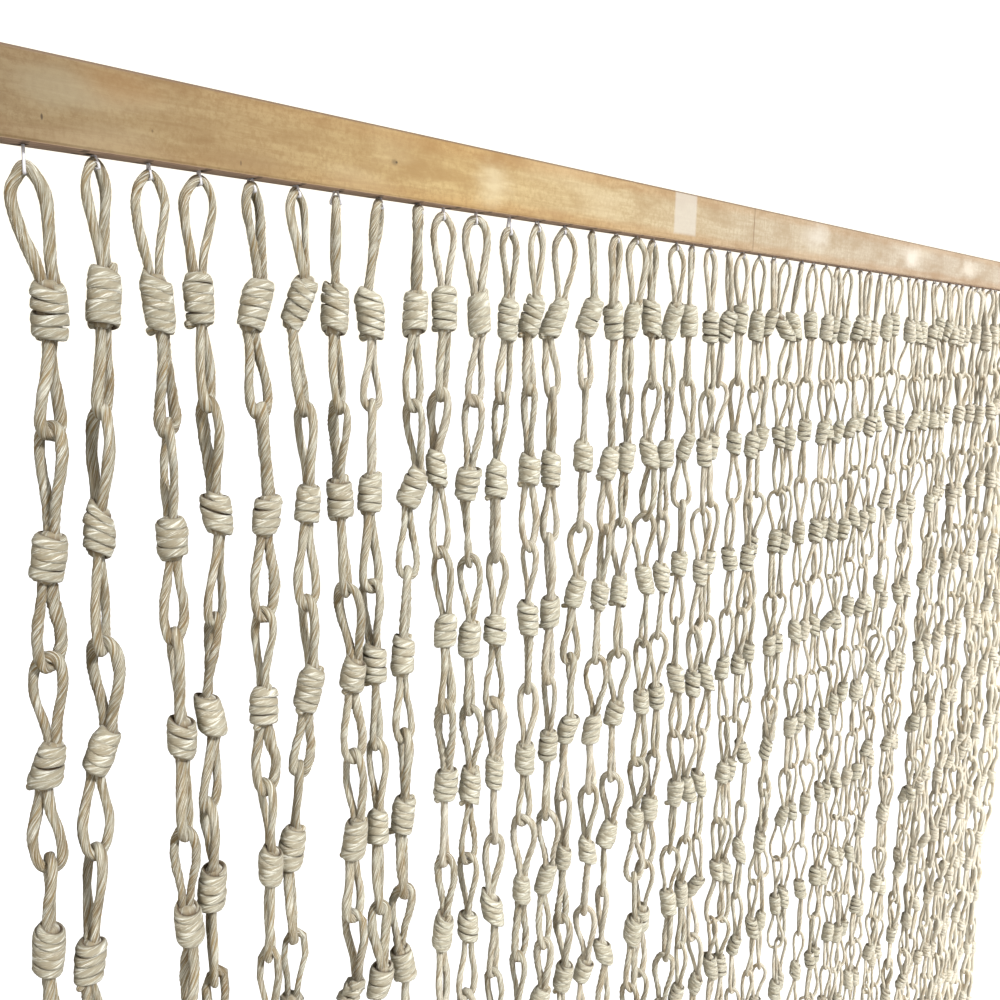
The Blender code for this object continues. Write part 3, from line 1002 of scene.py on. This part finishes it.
def stain_mask(tree, along, upward, height, blotch):
    """Stains that reach in from both long edges, weaker at the left end."""
    from_middle = math_node(tree, "ABSOLUTE", upward, 0.0)
    from_middle = math_node(tree, "MULTIPLY", from_middle, 2 / height)
    uneven = math_node(tree, "ADD", from_middle, math_node(tree, "MULTIPLY", blotch, 0.5))
    stained = ramp(tree, uneven, ((0.72, 0.0), (1.0, 0.55)))
    return math_node(tree, "MULTIPLY", stained, ramp(tree, along, ((0.08, 0.35), (0.25, 1.0))))


def stripe_mask(tree, place, along):
    """Fine upright lines, on the right part of the rail only."""
    stripes = noise(tree, scaled(tree, place, (900.0, 40.0, 25.0)), 1.0, 2.0)
    stripes = ramp(tree, stripes, ((0.42, 0.3), (0.6, 0.0)))
    return math_node(tree, "MULTIPLY", stripes, ramp(tree, along, ((0.3, 0.0), (0.42, 1.0))))


def hole_shade_mask(tree, across, patch, share_down, clear):
    """Painted shade of the holes: dark spots at the holes' spacing. Unless clear, they stray and show on
    the lower rim only.
    """
    first = (RAIL_LEFT + END_MARGIN) * MM
    steps = math_node(tree, "SUBTRACT", across, first)
    steps = math_node(tree, "MULTIPLY", steps, 1 / (HOLE_PITCH * MM))
    if not clear:
        stray = math_node(tree, "MULTIPLY", math_node(tree, "SUBTRACT", patch, 0.5), HOLE_STRAY)
        steps = math_node(tree, "ADD", steps, stray)
    from_hole = math_node(tree, "PINGPONG", steps, 0.5)
    rim = HOLE_RADIUS / HOLE_PITCH
    hole = ramp(tree, from_hole, ((rim, 1.0), (1.6 * rim, 0.0)))
    if not clear:
        hole = math_node(tree, "MULTIPLY", hole, ramp(tree, share_down, ((0.95, 0.0), (1.0, 0.6))))
    return hole


def wood_material(name, is_strip):
    """Planed wood, darker at its left end and stained along both edges.

    The rail has its lighter and darker marks and faint hole marks of painted shade, and the strip has clear
    holes of painted shade instead.
    """
    material, tree, shader = start_material(name)
    place = add_node(tree, "ShaderNodeTexCoord").outputs["Object"]
    split = add_node(tree, "ShaderNodeSeparateXYZ")
    tree.links.new(place, split.inputs[0])
    across, upward = split.outputs["X"], split.outputs["Z"]
    length = -2 * RAIL_LEFT * MM
    height = (rail_high[2] - rail_low[2]) * MM
    along = math_node(tree, "ADD", math_node(tree, "MULTIPLY", across, 1 / length), 0.5)
    base = ramp(tree, along, [(x / length, tone) for x, tone in RAIL_TONES])
    grain = noise(tree, scaled(tree, place, (30.0, 300.0, 420.0)), 1.0, 5.0, 0.65, 0.8)
    pores = noise(tree, scaled(tree, place, (620.0, 500.0, 560.0)), 1.0, 4.0, 0.7)
    blotch = noise(tree, scaled(tree, place, (30.0, 60.0, 75.0)), 1.0, 5.0, 0.6)
    patch = noise(tree, scaled(tree, place, (9.0, 0.0, 40.0)), 1.0, 2.0)
    darker = tinted(tree, base, WOOD_DARKER)
    lighter = mix_colour(tree, 0.35, base, WOOD_LIGHTER)
    base = mix_colour(tree, ramp(tree, grain, ((0.38, 0.50), (0.60, 0.0))), base, darker)
    base = mix_colour(tree, ramp(tree, pores, ((0.38, 0.55), (0.56, 0.0))), base, darker)
    base = mix_colour(tree, ramp(tree, blotch, ((0.48, 0.0), (0.68, 0.9))), base, darker)
    base = mix_colour(tree, ramp(tree, patch, ((0.55, 0.0), (0.75, 0.5))), base, lighter)
    stained = stain_mask(tree, along, upward, height, blotch)
    base = mix_colour(tree, stained, base, tinted(tree, base, WOOD_STAIN))
    base = mix_colour(tree, stripe_mask(tree, place, along), base, darker)
    for mark in () if is_strip else RAIL_MARKS:
        base = mix_colour(tree, mark_mask(tree, place, blotch, mark), base, mark[4])
    share_up = math_node(tree, "MULTIPLY", upward, 2 / height)
    share_down = math_node(tree, "MULTIPLY", share_up, -1.0)
    base = mix_colour(tree, ramp(tree, share_up, ((0.90, 0.0), (0.965, 0.9))), base, TOP_RIM)
    base = mix_colour(tree, ramp(tree, share_down, ((0.95, 0.0), (0.995, 0.9))), base, UNDERSIDE)
    # Painted shade of the holes
    base = mix_colour(tree, hole_shade_mask(tree, across, patch, share_down, is_strip), base, HOLE_SHADE)
    tree.links.new(base, shader.inputs["Base Color"])
    shader.inputs["Roughness"].default_value = 0.5
    shader.inputs["Specular IOR Level"].default_value = 0.35
    bump(tree, grain, 0.2, 0.0003, shader)
    return material


def thread_material():
    """Clear thread, which looks whitish against the light."""
    material, tree, shader = start_material("clear_thread")
    place = add_node(tree, "ShaderNodeTexCoord").outputs["Object"]
    cloud = noise(tree, place, 900.0, 2.0)
    colour = mix_colour(tree, cloud, (0.70, 0.70, 0.80), (0.97, 0.97, 1.00))
    tree.links.new(colour, shader.inputs["Base Color"])
    shader.inputs["Roughness"].default_value = 0.55
    return material


def floor_material():
    material, tree, shader = start_material("pale_floor")
    shader.inputs["Base Color"].default_value = (0.9, 0.9, 0.9, 1)
    shader.inputs["Roughness"].default_value = 0.9
    shader.inputs["Emission Color"].default_value = (1, 1, 1, 1)
    shader.inputs["Emission Strength"].default_value = 0.6
    return material


FLOOR_HALF = 30.0
FLOOR_DROP = 0.02


def make_stage():
    """A plain pale floor just below the curtain."""
    floor_z = cad_bounds[0][2] - FLOOR_DROP
    signs = ((-1, -1), (1, -1), (1, 1), (-1, 1))
    corners = [(x * FLOOR_HALF, y * FLOOR_HALF, floor_z) for x, y in signs]
    mesh = bpy.data.meshes.new("floor")
    mesh.from_pydata(corners, [], [(0, 1, 2, 3)])
    floor = bpy.data.objects.new("floor", mesh)
    bpy.context.scene.collection.objects.link(floor)
    mesh.materials.append(floor_material())
    # The floor shows, but throws no light back up at the strands
    floor.visible_diffuse = False
    floor.visible_glossy = False


SUNS = (
    # name, strength, spread in degrees, direction towards it, colour
    ("key", 3.05, 8, (0.12, -0.80, 0.60), (1.0, 1.0, 1.0)),
    ("side", 1.15, 30, (-0.86, -0.46, 0.20), (1.0, 0.98, 0.94)),
    ("bounce", 0.30, 60, (-0.30, -0.45, -0.80), (1.0, 0.93, 0.78)),
)
# The soft box stands to the right, so that the right end is a little brighter
BOXES = (
    # name, watts, width, height, place, what it faces
    ("soft_box", 10.0, 1.0, 2.6, (0.90, -1.0, -0.65), (0.10, 0.0, -0.65)),
)


# The world is faint for what it lights, and bright white where the camera sees it
WORLD_LIGHT = 0.17
WORLD_SEEN = 1.25
WORLD_COLOUR = (1.0, 0.95, 0.84, 1)


def make_world():
    """A faint warm light from all round, and the white background."""
    world = bpy.data.worlds.new("studio")
    bpy.context.scene.world = world
    world.use_nodes = True
    tree = world.node_tree
    back = tree.nodes["Background"]
    path = add_node(tree, "ShaderNodeLightPath")
    strength = add_node(tree, "ShaderNodeMapRange")
    tree.links.new(path.outputs["Is Camera Ray"], strength.inputs[0])
    strength.inputs["To Min"].default_value = WORLD_LIGHT
    strength.inputs["To Max"].default_value = WORLD_SEEN
    tree.links.new(strength.outputs[0], back.inputs["Strength"])
    back.inputs["Color"].default_value = WORLD_COLOUR


def add_light(name, kind, power, towards):
    """A light that shines from the direction given."""
    data = bpy.data.lights.new(name, kind)
    data.energy = power
    lamp = bpy.data.objects.new(name, data)
    bpy.context.scene.collection.objects.link(lamp)
    lamp.rotation_euler = Vector(towards).to_track_quat("Z", "Y").to_euler()
    return lamp


def make_lights():
    for name, strength, spread, towards, colour in SUNS:
        sun = add_light(name, "SUN", strength, towards)
        sun.data.color = colour
        sun.data.angle = math.radians(spread)
    for name, watts, width, height, place, faces in BOXES:
        box = add_light(name, "AREA", watts, Vector(place) - Vector(faces))
        box.data.shape = "RECTANGLE"
        box.data.size = width
        box.data.size_y = height
        box.location = place
        box.visible_camera = False


def main():
    make_camera()
    scene = bpy.context.scene
    scene.view_settings.view_transform = "Standard"
    wood = wood_material("rail_wood", False)
    strip_wood = wood_material("strip_wood", True)
    fibre = fibre_material()
    thread = thread_material()
    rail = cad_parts["rail"]
    rail.data.materials.clear()
    rail.data.materials.append(wood)
    ties = []
    for number in range(1, STRANDS + 1):
        make_strand(number, fibre)
        ties.append(make_tie(number))
    make_piece("thread_ties", ties, thread)
    make_strips(strip_wood)
    make_stage()
    make_world()
    make_lights()


main()
